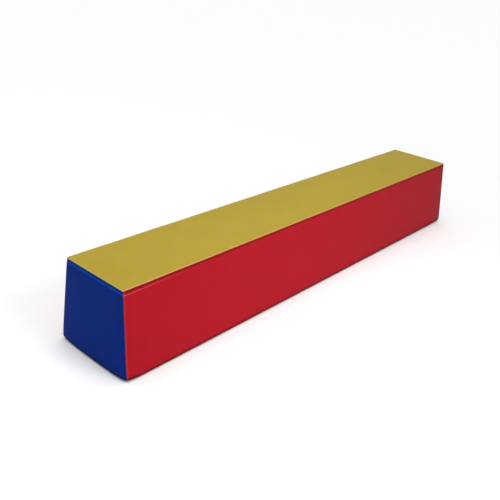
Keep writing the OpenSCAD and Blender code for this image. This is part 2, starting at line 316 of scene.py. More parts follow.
# How each panel's edge is rolled into its seam
seams = {
    "topBead": 0.0014,  # radius of the walking surface where it rolls over the walls
    "wallBead": 0.0014,  # radius of a wall where it rolls in under that
    "uprightBead": 0.0013,  # radius of the walls where they roll into the upright seams
    "uprightTurn": 135,  # degrees of that roll
    "lipBead": 0.0006,  # radius of the hidden edges
    "run": 0.004,  # length of the turned-in strip that is modelled
    "arcSteps": 7,  # rings round each roll
    "corner": 0.0012,  # radius of a panel's corner, in its own plane
    "tightest": 0.0001,  # least radius of a ring's corner
    "ringStep": 0.0004,  # how much further past the seam each ring counts
}
mitreInset = (1 + math.sqrt(2)) * seams["uprightBead"]  # where a roll of 135 degrees leaves the panel


def hem(radius, degrees, run):
    # Distance out and depth in of each ring: an arc turned through that angle, then a straight run
    turn = math.radians(degrees)
    angle = np.linspace(0, turn, seams["arcSteps"] + 1)[1:]
    far = np.array([0.5, 1.0]) * run
    out = radius * np.sin(angle)
    deep = radius * (1 - np.cos(angle))
    out = np.append(out, out[-1] + far * math.cos(turn))
    return out, np.append(deep, deep[-1] + far * math.sin(turn))


def cutEdge(run, rings):
    # Rings for an edge that is simply cut: evenly spaced and level
    return run * np.linspace(0, 1, rings + 1)[1:], np.zeros(rings)


def lines(low, high, step, extra=()):
    # Grid lines from low to high: close together inside each corner, then a step apart, with extra ones
    corner = seams["corner"] * np.linspace(0, 1, 4)
    count = max(2, round((high - low) / step) + 1)
    middle = np.linspace(low + corner[-1], high - corner[-1], count)
    extra = [x for x in extra if low + 2 * corner[-1] < x < high - 2 * corner[-1]]
    return np.unique(np.round(np.concatenate([low + corner, middle, high - corner, extra]), 7))


def sewnPanel(us, vs, ends, low, high):
    # A grid over (u, v) with rounded corners, whose border is carried on in rings by the hems of its
    # two ends, its low edge and its high edge. Returns each point's u, v and height n over the panel,
    # the faces and the distances to the seam.
    nu, nv = len(us), len(vs)
    midU, midV = (us[0] + us[-1]) / 2, (vs[0] + vs[-1]) / 2
    halfU, halfV = (us[-1] - us[0]) / 2, (vs[-1] - vs[0]) / 2
    u, v = [g.ravel() for g in np.meshgrid(us - midU, vs - midV, indexing="ij")]
    radius = seams["corner"]
    p = np.clip((np.abs(u) - halfU + radius) / radius, 0, 1)
    q = np.clip((np.abs(v) - halfV + radius) / radius, 0, 1)
    roundU, roundV = p * np.sqrt(1 - q * q / 2), q * np.sqrt(1 - p * p / 2)
    flatU, flatV = np.minimum(np.abs(u), halfU - radius), np.minimum(np.abs(v), halfV - radius)
    index = np.arange(nu * nv).reshape(nu, nv)
    border = np.concatenate([index[:-1, 0], index[-1, :-1], index[:0:-1, -1], index[0, :0:-1]])
    signU, signV = np.where(u < 0, -1, 1), np.where(v < 0, -1, 1)
    allU = [signU * (flatU + radius * roundU)]
    allV = [signV * (flatV + radius * roundV)]
    allN = [np.zeros(nu * nv)]
    seam = [np.minimum(halfU - np.abs(u), halfV - np.abs(v))]
    bu, bv, du, dv = flatU[border], flatV[border], roundU[border], roundV[border]
    su, sv = signU[border], signV[border]
    faces = [gridQuads(index)]
    inner = border
    for k, (outU, deepU) in enumerate(zip(*ends)):
        outV, deepV = [np.where(sv < 0, a[k], b[k]) for a, b in zip(low, high)]
        ring = np.maximum(radius + np.minimum(outU, outV), seams["tightest"])
        farU, farV = halfU + outU - ring, halfV + outV - ring
        allU.append(su * (np.where(du > 0, farU, np.minimum(bu, farU)) + ring * du))
        allV.append(sv * (np.where(dv > 0, farV, np.minimum(bv, farV)) + ring * dv))
        allN.append(-(du * du * deepU + dv * dv * deepV))
        seam.append(np.full(len(border), -seams["ringStep"] * (k + 1)))
        outer = nu * nv + k * len(border) + np.arange(len(border))
        faces.append(np.stack([inner, outer, np.roll(outer, -1), np.roll(inner, -1)], -1))
        inner = outer
    u, v, n, faces, seam = [np.concatenate(part) for part in (allU, allV, allN, faces, seam)]
    return u + midU, v + midV, n, faces, seam


def wallOutline(s, centre, lean):
    # A flat lip, an arc of the base radius, then a wall that leans in; s is the length along it.
    # Returns the distance out, the height and the outward normal's two parts.
    r = block["baseArc"]
    turn = np.clip((s - lipLength) / r, 0, math.pi / 2 + lean) - math.pi / 2
    rise = np.maximum(s - lipLength - r * (math.pi / 2 + lean), 0)
    out = centre + np.minimum(s - lipLength, 0) + r * np.cos(turn) - rise * math.sin(lean)
    return out, r + r * np.sin(turn) + rise * math.cos(lean), np.cos(turn), np.sin(turn)


def reachAt(z, under, centre, lean):
    # Half-size of the block at height z, less the distance in under it
    r = block["baseArc"]
    low = np.minimum(z, r * (1 + math.sin(lean)))
    bulge = np.sqrt(np.maximum(r * r - (low - r) ** 2, 0))
    return centre + bulge - (z - low) * math.tan(lean) - under


def wallLength(lean):
    # Length of the outline from the lip's edge to where the wall rolls in under the walking surface
    top = cadHigh.z - 2 * seams["topBead"] - seams["wallBead"]
    r = block["baseArc"]
    return lipLength + r * (math.pi / 2 + lean) + (top - r * (1 + math.sin(lean))) / math.cos(lean)


def wallPlace(u, v, n, own, ownLean, other, otherLean, halfU):
    # Carries a wall's grid to its outline; the ends of each row follow the seam with the next wall
    out, up, away, rise = wallOutline(v, own, ownLean)
    reach = reachAt(np.clip(up, 0, None), np.maximum(lipLength - v, 0), other, otherLean)
    inside = np.clip(u, -halfU, halfU)
    along = inside * (reach - mitreInset) / halfU + (u - inside)
    return along, out + n * away, up + n * rise


# The stitches that show, all of one thread
stitching = {
    "pitch": 0.0036,
    "length": 0.0027,
    "thread": 0.00028,  # radius
    "rings": 7,  # of points along each stitch
    "sides": 6,
    "endDip": 0.9,  # how far its ends dip into the fabric, as a share of the radius
    "lipInset": 0.003,  # from the edge of a turned-under wall to its row
    "lipSink": 0.9,  # how far that row lies in its groove, as a share of the radius
    "groove": 0.0007,
    "grooveWidth": 0.0014,
    "zipRows": (0.0022, 0.0078),  # from the fold beside the zip to its rows
    "zipSink": 0.3,
    "tacks": (0.006, 0.0075),  # from the slot's end to the bars across it
}


def lipGroove(v):
    # The sewing pulls a shallow groove along the edge that is turned under the block
    return stitching["groove"] * bell(v - stitching["lipInset"], stitching["grooveWidth"])


# What all four walls share
walls = {
    "rowStep": 0.009,  # spacing of the grid's rows up a wall
    "arcRows": 9,  # rows round the arc at the base
    "topBand": 0.016,  # height of the close rows under the top seam
    "topRows": 17,
    "lipTurn": 20,  # degrees by which the hidden lower edge is rolled in
    "lipRun": 0.0005,
    "ease": 0.0010,  # how far a side wall falls back where it nears an upright seam
    "easeReach": 0.006,
    "footShade": 0.85,  # how much darker painted shade makes the roll under the block
    "footBand": (0.010, 0.020),  # how far from the lip, along the wall, that starts to fade and ends
}


def wallPanel(lean, halfU):
    # Height along the outline and grid of a wall that leans in, with close rows round the base arc
    # and under the top seam
    high = wallLength(lean)
    arc = lipLength + block["baseArc"] * np.linspace(0, math.pi / 2 + lean, walls["arcRows"])
    band = high - walls["topBand"] * np.linspace(0, 1, walls["topRows"])[1:]
    us = lines(-halfU, halfU, block["gridStep"])
    vs = lines(0, high, walls["rowStep"], np.concatenate([arc, band]))
    upright = hem(seams["uprightBead"], seams["uprightTurn"], seams["run"])
    top = hem(seams["wallBead"], 90 + math.degrees(lean), seams["run"])
    lip = hem(seams["lipBead"], walls["lipTurn"], walls["lipRun"])
    return high, sewnPanel(us, vs, upright, lip, top)


def footShade(v):
    # Painted shade that grows down the wall's last few millimetres and stays over the arc at the base
    full, none = walls["footBand"]
    return walls["footShade"] * (1 - smooth((v - lipLength - full) / (none - full)))


# The two red side panels
sidePanels = {
    "creaseStart": 0.0088,  # how far below the seam the crease starts, at the near end
    "creaseEnd": 0.0006,  # and how far below it ends
    "creaseLength": 0.42,
    "creaseFall": 0.4,  # power by which it nears the seam
    "creaseFade": 2.2,  # power by which it gets shallower
    "creaseDepth": 0.0010,
    "creaseRidge": 0.0009,  # height of the ridge below it
    "ridgePlace": (0.0008, 0.0016),  # inset and width of that
    "creaseShadeAndHighlight": (0.2, 1.0),  # how dark the painted shade in the crease is, and how light the painted highlight on its ridge
    "strip": 0.0003,  # how much the turned-in strip lifts the panel along its top
    "stripEdge": 0.003,
    "tuckWave": 0.033,
    "underSeamShade": (0.0027, 0.0030),  # depth of the painted shade line under the top, and of its fade
    "lineShade": 0.56,
    "turnShade": (0.25, 0.60),  # how much painted shade darkens it where it turns to the near and the far end
    "turnReach": 0.022,
    "nearBeadHighlight": (0.5, 0.0008, 0.0018),  # how light the painted highlight on its bead at the near end is, with inset and width
    "farShadeLine": (0.5, 0.0012),  # how dark the painted shade line at the far end is, and its width
}


def tucks(u, v, high, step, seed):
    # Small tucks that stand square to the upper seam and fade into the panel
    fade = np.exp(-np.clip(high - v, 0, None) / fit["tuckReach"])
    return fit["tuck"] * fade * ripple(u, step, seed)


def sideRelief(u, v, high, withCrease):
    # Height of the panel's small forms over its outline, and the painted shade and highlight that go
    # with them
    below = high - v
    n = tucks(u, v, high, sidePanels["tuckWave"], 2.0)
    n = n + sidePanels["strip"] * (1 - smooth((below - block["allowance"]) / sidePanels["stripEdge"]))
    depth, blur = sidePanels["underSeamShade"]
    # painted shade line just under the top seam
    shade = -sidePanels["lineShade"] * (1 - smooth((below - depth) / blur))
    if withCrease:
        along = np.clip(1 - (u + halfLength) / sidePanels["creaseLength"], 0, 1)
        foot = sidePanels["creaseStart"] * along ** sidePanels["creaseFall"] + sidePanels["creaseEnd"]
        fade = along ** sidePanels["creaseFade"]
        inset, width = sidePanels["ridgePlace"]
        dark, light = sidePanels["creaseShadeAndHighlight"]
        valley = fade * np.sin(math.pi * np.clip(below / foot, 0, 1))
        ridge = fade * bell(below - foot - inset, width)
        n = n + sidePanels["creaseRidge"] * ridge - sidePanels["creaseDepth"] * valley
        # painted shade in the crease and a painted highlight on its ridge
        shade = np.minimum(shade, -dark * valley) + light * ridge
    return n, shade


def sidePanel(name, face, sign, finish):
    # u runs along the beam, v up the wall's outline from the lip
    halfU = halfLength - mitreInset
    high, (u, v, n, faces, seam) = wallPanel(tilt, halfU)
    relief, shade = sideRelief(u, np.minimum(v, high), high, sign < 0)
    edge = np.clip(halfU - np.abs(u), 0, None)
    # painted shade where the panel turns to the near and the far end
    turn = np.where(u < 0, *sidePanels["turnShade"]) * np.exp(-edge / sidePanels["turnReach"])
    light, inset, width = sidePanels["nearBeadHighlight"]
    dark, darkWidth = sidePanels["farShadeLine"]
    # painted shade on the roll under the block
    shade = shade - footShade(v) - turn
    # a painted highlight on the bead at the near end and a painted shade line at the far end
    shade = shade + np.where(u < 0, light * bell(edge - inset, width), -dark * bell(edge, darkWidth))
    n = n + relief - lipGroove(v) - walls["ease"] * np.exp(-edge / walls["easeReach"])
    along, out, up = wallPlace(u, v, n, sideCentre, tilt, endCentre, 0.0, halfU)
    points = settle(swell(np.stack([along, sign * out, up], -1), face))
    faces = faces if sign < 0 else faces[:, ::-1]
    piece = addPiece(name, points, faces, finish, "red_vinyl", block["fabric"], seam=seam, shade=shade)
    return piece


# The two blue end panels
endPanels = {
    "crown": 0.0012,  # how far the panel stands out past the side panels' seams
    "crownReach": 0.008,  # distance from those over which it gets there
    "crownEnds": 0.02,  # and from the lip and the top
    "shoulder": 0.0018,  # how far the top of the panel leans back over the turned-in strip
    "shoulderBand": 0.012,
    "tuckWave": 0.041,
    "stripHighlight": 0.85,  # how light the painted highlight on that strip is
    "stripBlur": 0.002,
    "lineShade": 0.7,  # how dark the painted shade line above it is
    "lineWidth": 0.0022,
}


def endPanel(name, face, sign, finish):
    # u runs across the beam, v up the wall's outline from the lip
    halfU = cadHigh.y - mitreInset
    high, (u, v, n, faces, seam) = wallPanel(0.0, halfU)
    below = high - np.minimum(v, high)
    edge = np.clip(halfU - np.abs(u), 0, None)
    n = n + tucks(u, np.minimum(v, high), high, endPanels["tuckWave"], 5.0) - lipGroove(v)
    crown = (1 - np.exp(-edge / endPanels["crownReach"])) \
        * smooth((v - lipLength) / endPanels["crownEnds"]) * smooth(below / endPanels["crownEnds"])
    shoulder = 1 - smooth(below / endPanels["shoulderBand"])
    n = n + endPanels["crown"] * crown - endPanels["shoulder"] * shoulder
    blur = endPanels["stripBlur"]
    strip = smooth((endPanels["shoulderBand"] - below) / blur) \
        * smooth((below - endPanels["lineWidth"]) / blur)
    line = bell(below, endPanels["lineWidth"])
    # painted highlight on the strip, painted shade in the line above it and on the roll under the block
    shade = endPanels["stripHighlight"] * strip - endPanels["lineShade"] * line - footShade(v)
    along, out, up = wallPlace(u, v, n, endCentre, 0.0, sideCentre, tilt, halfU)
    points = settle(swell(np.stack([sign * out, along, up], -1), face))
    faces = faces if sign > 0 else faces[:, ::-1]
    piece = addPiece(name, points, faces, finish, "blue_vinyl", block["fabric"], seam=seam, shade=shade)
    return piece


# The yellow walking surface
walkingSurface = {
    "rowStep": 0.010,
    "edgeBand": 0.012,  # width of the close rows along its long edges
    "edgeRows": 7,
    "tuckWave": 0.037,
    "endBeadHighlight": 0.8,  # how strongly the beads at the two ends take the grey-green painted highlight
    "beadBlur": 0.0004,
}


def topPanel(finish):
    # u runs along the beam, v across it
    halfU = halfLength - seams["topBead"]
    halfV = topHalf - seams["topBead"]
    us = lines(-halfU, halfU, block["gridStep"])
    edgeLines = halfV - walkingSurface["edgeBand"] * np.linspace(0, 1, walkingSurface["edgeRows"])
    vs = lines(-halfV, halfV, walkingSurface["rowStep"], np.concatenate([edgeLines, -edgeLines]))
    roll = hem(seams["topBead"], 180, seams["run"])
    u, v, n, faces, seam = sewnPanel(us, vs, roll, roll, roll)
    edge = np.clip(halfV - np.abs(v), 0, None)
    wave = ripple(u, walkingSurface["tuckWave"], np.where(v < 0, 3.0, 7.0))
    n = n + fit["tuck"] * np.exp(-edge / fit["tuckReach"]) * wave
    onBead = smooth((np.abs(u) - halfU) / walkingSurface["beadBlur"] + 0.5)
    # painted highlight on the beads at the two ends
    shade = walkingSurface["endBeadHighlight"] * onBead
    points = settle(swell(np.stack([u, v, cadHigh.z + n], -1), "top"))
    piece = addPiece("topPanel", points, faces, finish, "yellow_vinyl", block["fabric"],
                     seam=seam, shade=shade)
    return piece


# The base: two dark panels that rise into a hollow and are folded back beside the zip
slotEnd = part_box("zip_top_stops")[1].x
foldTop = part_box("base_panel_front")[1].z
tapeLow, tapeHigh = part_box("zip_tape_rear")
basePanels = {
    "halfLength": halfLength - block["turnUnder"],  # to the edges of the walls that lap over it
    "halfWidth": 0.150 - block["turnUnder"],
    "rowStep": 0.009,
    "lapRun": 0.0024,  # length over which it steps up under a wall
    "lapGap": 0.0001,
    "cutRun": 0.0009,
    "roof": foldTop - 2 * block["fabric"],  # height of the hollow over the zip
    "hollowHalf": (tapeHigh.x + 0.020, tapeHigh.y + 0.002),
    "hollowRun": 0.010,
    "foldBead": block["fabric"],
    "fold": 0.010,  # width of the strip folded back beside the zip
    "slotRoom": 0.0003,  # between the slider and the panels' folded edges
    "slotTurn": 0.004,  # length over which the slot closes at its ends
    "slotReach": 0.05,  # how far from the slot the panel still gives way to that
    "pucker": 0.0002,  # height of the puckers beside the zip's stitches
    "puckerWave": 0.019,
    "puckerReach": 0.012,
}
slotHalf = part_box("zip_slider")[1].y + basePanels["slotRoom"]


def hollowRise(x, y):
    # Height of the hollow's roof, falling to the floor over the run with rounded edges
    run, (halfX, halfY) = basePanels["hollowRun"], basePanels["hollowHalf"]
    inX, inY = (halfX + run - np.abs(x)) / run, (halfY + run - np.abs(y)) / run
    return basePanels["roof"] * smooth(inX) * smooth(inY)


def basePanel(name, sign, finish):
    # The panel on one side of the zip: u along the beam, v outwards from the zip
    bead = basePanels["foldBead"]
    outer = basePanels["halfWidth"] + block["allowance"]
    halfU = basePanels["halfLength"] + block["allowance"]
    slope = basePanels["hollowRun"] * np.linspace(0, 1, 7)
    slopeX, slopeY = [half + slope for half in basePanels["hollowHalf"]]
    slotX = slotEnd + basePanels["slotTurn"] * np.linspace(-0.25, 1.25, 9)
    step = basePanels["lapRun"] * np.linspace(0, 1, 3)
    endX = np.concatenate([slopeX, slotX, basePanels["halfLength"] + step])
    us = lines(-halfU, halfU, block["gridStep"], np.concatenate([endX, -endX]))
    acrossY = np.concatenate([slopeY, basePanels["halfWidth"] + step])
    vs = lines(slotHalf + bead, outer, basePanels["rowStep"], acrossY)
    fold = hem(bead, 180, basePanels["fold"])
    cut = cutEdge(basePanels["cutRun"], len(fold[0]))
    u, v, n, faces, seam = sewnPanel(us, vs, cut, fold, cut)
    closing = slotHalf * smooth((np.abs(u) - slotEnd) / basePanels["slotTurn"])
    y = v - closing * (1 - smooth((v - slotHalf) / basePanels["slotReach"]))
    margin = np.maximum(np.abs(u) - basePanels["halfLength"], v - basePanels["halfWidth"])
    lapped = (block["fabric"] + basePanels["lapGap"]) * smooth(margin / basePanels["lapRun"] + 0.2)
    pucker = basePanels["pucker"] * (1 + ripple(u, basePanels["puckerWave"], 4.0 + sign)) \
        * np.exp(-np.clip(v - slotHalf, 0, None) / basePanels["puckerReach"])
    z = hollowRise(u, y) + lapped + pucker - n
    points = settle(np.stack([u, sign * y, z], -1))
    faces = faces[:, ::-1] if sign > 0 else faces
    piece = addPiece(name, points, faces, finish, "base_vinyl", block["fabric"], seam=seam)
    return piece


# The zip's two woven tapes
zipTapes = {
    "step": 0.006,
    "rowStep": 0.002,
    "cutRun": 0.0002,
    "waver": 0.00015,  # how far the tape's outer edge rises and falls
    "waverWave": 0.05,
}


def zipTape(name, sign, finish):
    # u runs along the tape, v outwards from the teeth
    us = lines(-tapeHigh.x, tapeHigh.x, zipTapes["step"])
    vs = lines(tapeLow.y, tapeHigh.y, zipTapes["rowStep"])
    cut = cutEdge(zipTapes["cutRun"], 2)
    u, v, n, faces, _ = sewnPanel(us, vs, cut, cut, cut)
    outerEdge = smooth((v - tapeLow.y) / (tapeHigh.y - tapeLow.y))
    wave = (1 + ripple(u, zipTapes["waverWave"], 6.0 + sign)) / 2
    z = tapeLow.z - n + zipTapes["waver"] * outerEdge * wave
    points = np.stack([u, sign * v, z], -1)
    faces = faces[:, ::-1] if sign > 0 else faces
    piece = addPiece(name, points, faces, finish, "zip_tape", tapeHigh.z - tapeLow.z)
    return piece


def stitchRows(name, rows, finish):
    # Each stitch is a thread bent into a low bow: rings of points that get smaller at its ends.
    # rows holds (start, end, up) for straight rows; up points out of the fabric
    rings, sides = stitching["rings"], stitching["sides"]
    along = np.array([-1.0, -0.86, -0.45, 0.0, 0.45, 0.86, 1.0])
    radius = stitching["thread"] * np.array([0.25, 0.8, 1.0, 1.0, 1.0, 0.8, 0.25])
    drop = -stitching["thread"] * stitching["endDip"] * along ** 4
    angle = np.linspace(0, 2 * math.pi, sides + 1)[:-1]
    aside, above = np.cos(angle)[:, None], np.sin(angle)[:, None]
    points, quads, caps, count = [], [], [], 0
    for start, end, up in rows:
        start, end, up = [np.array(p, float) for p in (start, end, up)]
        length = np.linalg.norm(end - start)
        run = (end - start) / length
        across = np.cross(up, run)
        number = int(length / stitching["pitch"])
        centre = start + np.outer((np.arange(number) + 0.5) / number, end - start)
        ring = (along * stitching["length"] / 2)[:, None, None] * run \
            + drop[:, None, None] * up \
            + radius[:, None, None] * (aside * across + above * up)
        points.append((centre[:, None, None] + ring).reshape(-1, 3))
        k = np.arange(number * rings * sides).reshape(number, rings, sides) + count
        turned = np.roll(k, -1, axis=2)
        quad = np.stack([k[:, :-1], turned[:, :-1], turned[:, 1:], k[:, 1:]], -1)
        quads.append(quad.reshape(-1, 4))
        caps += k[:, 0, ::-1].tolist() + k[:, -1].tolist()
        count += k.size
    points, quads = settle(np.concatenate(points)), np.concatenate(quads)
    return addPiece(name, points, quads, finish, "zip_tape", caps=caps)


def baseStitches(finish):
    # Two rows on each side of the zip, bar tacks across its ends, and a row round the lapped edges
    down = (0, 0, -1)
    deep = basePanels["roof"] - stitching["thread"] * stitching["zipSink"]
    rows, lapped = [], []
    for side in (-1, 1):
        for inset in stitching["zipRows"]:
            y = side * (slotHalf + inset)
            rows.append(((-slotEnd, y, deep), (slotEnd, y, deep), down))
    for end in (-1, 1):
        for inset in stitching["tacks"]:
            x = end * (slotEnd + inset)
            reach = slotHalf + stitching["zipRows"][1]
            rows.append(((x, -reach, deep), (x, reach, deep), down))
    seamX = basePanels["halfLength"] + stitching["lipInset"]
    seamY = basePanels["halfWidth"] + stitching["lipInset"]
    low = stitching["groove"] - stitching["thread"] * stitching["lipSink"]
    for side in (-1, 1):
        lapped.append(((-seamX, side * seamY, low), (seamX, side * seamY, low), down))
        lapped.append(((side * seamX, -seamY, low), (side * seamX, seamY, low), down))
    stitchRows("zipStitches", rows, finish)
    stitchRows("lapStitches", lapped, finish)


# Materials
class Flow:
    # A number on its way through a material; sums and products of flows add Math nodes
    def __init__(self, finish, socket):
        self.finish, self.socket = finish, socket

    def __add__(self, other):
        return self.finish.maths("ADD", self, other)

    def __mul__(self, other):
        return self.finish.maths("MULTIPLY", self, other)

    def __sub__(self, other):
        return self.finish.maths("SUBTRACT", self, other)

    def __rsub__(self, other):
        return self.finish.maths("SUBTRACT", other, self)

    __radd__, __rmul__ = __add__, __mul__


class Finish:
    # A material, its nodes and its Principled shader
    def __init__(self, name):
        self.material = bpy.data.materials.new(name)
        self.material.use_nodes = True
        self.nodes, self.links = self.material.node_tree.nodes, self.material.node_tree.links
        self.shader = self.nodes["Principled BSDF"]
        self.coordinates = self.add("TexCoord", output="Object")

    def add(self, kind, settings=None, inputs=None, output=0):
        # A new node with its settings and the values or links of its sockets
        made = self.nodes.new("ShaderNode" + kind)
        for key, value in (settings or {}).items():
            setattr(made, key, value)
        for key, value in (inputs or {}).items():
            self.feed(made.inputs[key], value)
        return Flow(self, made.outputs[output])

    def feed(self, socket, value):
        if isinstance(value, Flow):
            self.links.new(value.socket, socket)
        else:
            socket.default_value = value

    def shade(self, **values):
        for name, value in values.items():
            self.feed(self.shader.inputs[name.replace("_", " ")], value)

    def maths(self, operation, first, second=0.0):
        return self.add("Math", {"operation": operation}, {0: first, 1: second})

    def axes(self):
        # The three coordinates as flows
        split = self.add("SeparateXYZ", {}, {"Vector": self.coordinates}).socket.node
        return [Flow(self, split.outputs[axis]) for axis in "XYZ"]

    def noise(self, size, detail=2.0, rough=0.5):
        return self.add("TexNoise", {}, {
            "Vector": self.coordinates, "Scale": 1 / size, "Detail": detail, "Roughness": rough})

    def cells(self, size, randomness=1.0):
        return self.add("TexVoronoi", {"feature": "F1"}, {
            "Vector": self.coordinates, "Scale": 1 / size, "Randomness": randomness}, output="Distance")

    def ramp(self, value, low, high):
        # 0 below low, 1 above high, smooth between them
        return self.add("MapRange", {"interpolation_type": "SMOOTHSTEP"}, {
            "Value": value, "From Min": low, "From Max": high})

    def mix(self, factor, first, second):
        # From the first colour to the second; a plain colour gets full alpha
        first, second = [c + (1.0,) if isinstance(c, tuple) else c for c in (first, second)]
        return self.add("Mix", {"data_type": "RGBA"}, {
            0: factor, 6: first, 7: second}, output=2)

    def attribute(self, name):
        return self.add("Attribute", {"attribute_name": name}, output="Fac")

    def bump(self, height, distance, strength=1.0):
        return self.add("Bump", {}, {
            "Height": height, "Distance": distance, "Strength": strength}, output="Normal")


def tint(colour, factor):
    # A colour made darker or lighter by a factor
    return tuple(c * factor for c in colour)


# The coated fabric: its colour, that of a bead with wear and a painted highlight, the colour of painted
# highlights, and its gloss
vinyls = {
    "yellow": {"colour": (0.392, 0.288, 0.031), "beadWearAndHighlight": (0.66, 0.33, 0.11),
               "paintedHighlight": (0.38, 0.37, 0.20), "gloss": 0.06},
    "red": {"colour": (0.368, 0.0060, 0.0140), "beadWearAndHighlight": (0.42, 0.030, 0.042),
            "paintedHighlight": (0.52, 0.075, 0.09), "gloss": 0.04},
    "blue": {"colour": (0.0006, 0.0190, 0.182), "beadWearAndHighlight": (0.006, 0.028, 0.19),
             "paintedHighlight": (0.003, 0.050, 0.29), "gloss": 0.02},
}
vinylGrain = {
    "mottle": (0.11, 4.0, 0.6),  # size, detail and roughness of the faint mottling
    "clouds": (0.012, 3.0, 0.6),  # and of the finer one
    "mottleTints": (0.965, 1.035),
    "cell": 0.0011,  # size of the leather grain
    "pore": 0.0005,
    "depth": 0.00022,
    "wearAndHighlightBand": (0.0010, -0.0006),  # distances to the seam between which the bead's wear and painted highlight grow
    "inside": (-0.0014, -0.0026),  # and between which painted shade darkens it in the seam
}


def vinylFinish(colourName):
    # A fine leather grain, faint mottling, painted shade in the groove and beads with wear and a
    # painted highlight;
    # the shade attribute paints highlights where it is above 0 and paints shade where it is below 0
    look = vinyls[colourName]
    colour = look["colour"]
    finish = Finish(colourName + "Vinyl")
    seam, shade = finish.attribute("seam"), finish.attribute("shade")
    mottle = finish.noise(*vinylGrain["mottle"])
    clouds = finish.noise(*vinylGrain["clouds"])
    grain = finish.cells(vinylGrain["cell"])
    pore = finish.noise(vinylGrain["pore"], 1.0)
    dark, pale = [tint(colour, factor) for factor in vinylGrain["mottleTints"]]
    base = finish.mix(finish.ramp(mottle + 0.35 * clouds, 0.45, 0.95), dark, pale)
    # the bead along each seam: wear and a painted highlight
    bead = finish.ramp(seam, *vinylGrain["wearAndHighlightBand"]) * (0.55 + 0.45 * finish.ramp(clouds, 0.3, 0.6))
    base = finish.mix(bead, base, look["beadWearAndHighlight"])
    # painted highlight where the shade attribute is positive
    base = finish.mix(finish.ramp(shade, 0.0, 1.0), base, look["paintedHighlight"])
    # painted shade where the shade attribute is negative
    base = finish.mix(finish.ramp(shade, 0.0, -1.0), base, tint(colour, 0.22))
    # painted shade inside the seam's groove
    base = finish.mix(finish.ramp(seam, *vinylGrain["inside"]), base, tint(colour, 0.2))
    finish.shade(Base_Color=base, Roughness=0.47 + 0.10 * (mottle - 0.5) + 0.05 * grain,
                 Normal=finish.bump(0.8 * grain + 0.2 * pore, vinylGrain["depth"], 0.9),
                 Specular_IOR_Level=look["gloss"])
    return finish.material


foamLook = {"pore": 0.0016, "deep": (0.55, 0.50, 0.36), "cream": (0.93, 0.90, 0.80), "depth": 0.0004}


def foamFinish():
    # Open-cell foam: pale cream with small pores
    finish = Finish("foamCells")
    pores = finish.cells(foamLook["pore"])
    finish.shade(Base_Color=finish.mix(pores, foamLook["deep"], foamLook["cream"]), Roughness=0.95,
                 Normal=finish.bump(pores, foamLook["depth"]))
    return finish.material


baseVinylLook = {
    "dimple": 0.0026,  # spacing of the dimples
    "scatter": 0.12,  # how far they stray from a square net
    "dust": (0.06, 5.0, 0.65),
    "black": (0.014, 0.014, 0.016),
    "dusty": (0.045, 0.043, 0.042),
    "raised": (0.06, 0.059, 0.06),
    # colour of the painted shade inside the seams
    "inside": (0.004, 0.004, 0.005),
    "depth": 0.00025,
}


def baseVinylFinish():
    # Anti-slip coated fabric: round dimples in a square net, dusty on top
    look = baseVinylLook
    finish = Finish("baseVinyl")
    seam = finish.attribute("seam")
    dimple = finish.cells(look["dimple"], look["scatter"])
    dust = finish.noise(*look["dust"])
    raised = finish.ramp(dimple, 0.42, 0.28)
    base = finish.mix(finish.ramp(dust, 0.42, 0.78), look["black"], look["dusty"])
    base = finish.mix(0.35 * raised, base, look["raised"])
    # painted shade inside the seams
    base = finish.mix(0.7 * finish.ramp(seam, *vinylGrain["inside"]), base, look["inside"])
    finish.shade(Base_Color=base, Roughness=0.62 - 0.16 * raised + 0.1 * dust,
                 Normal=finish.bump(raised, look["depth"]), Specular_IOR_Level=0.3)
    return finish.material


tapeLook = {
    "rib": 0.0011,  # width of the ribs along the tape
    "pick": 0.0007,  # and of the threads across them
    "fluff": (0.004, 4.0),
    "black": (0.012, 0.012, 0.013),
    "fluffy": (0.06, 0.06, 0.064),
    "depth": 0.00015,
}


def tapeFinish():
    # Woven tape: ribs along it crossed by finer picks
    finish = Finish("wovenTape")
    x, y, _ = finish.axes()
    rib = finish.maths("SINE", y * (2 * math.pi / tapeLook["rib"]))
    pick = finish.maths("SINE", x * (2 * math.pi / tapeLook["pick"]) + rib * 1.5)
    weave = 0.5 + 0.3 * rib + 0.2 * pick
    fluff = finish.noise(*tapeLook["fluff"])
    base = finish.mix(weave * finish.ramp(fluff, 0.3, 0.8), tapeLook["black"], tapeLook["fluffy"])
    finish.shade(Base_Color=base, Roughness=0.85 + 0.1 * (fluff - 0.5),
                 Normal=finish.bump(weave, tapeLook["depth"]), Sheen_Weight=0.25,
                 Specular_IOR_Level=0.2)
    return finish.material


threadLook = {
    "strand": 0.0003,
    "black": (0.02, 0.02, 0.022),
    "paintedSheen": (0.10, 0.10, 0.11),
    "depth": 0.00008,
}


def threadFinish():
    # Twisted polyester thread: fine strands, the lighter ones a painted sheen
    finish = Finish("blackThread")
    strand = finish.noise(threadLook["strand"], 2.0)
    finish.shade(Base_Color=finish.mix(strand, threadLook["black"], threadLook["paintedSheen"]),
                 Roughness=0.7, Normal=finish.bump(strand, threadLook["depth"]))
    return finish.material


toothLook = {
    "flow": (0.0012, 3.0),  # size and detail of the flow marks
    "dust": (0.02, 4.0),
    "black": (0.035, 0.035, 0.038),
    "dusty": (0.075, 0.073, 0.07),
    "depth": 0.00004,
}


def toothFinish():
    # Moulded acetal: satin, with faint flow marks and a little grey dust
    finish = Finish("mouldedAcetal")
    flow, dust = finish.noise(*toothLook["flow"]), finish.noise(*toothLook["dust"])
    base = finish.mix(finish.ramp(dust, 0.45, 0.8), toothLook["black"], toothLook["dusty"])
    finish.shade(Base_Color=base, Roughness=0.36 + 0.2 * flow,
                 Normal=finish.bump(flow, toothLook["depth"]))
    return finish.material


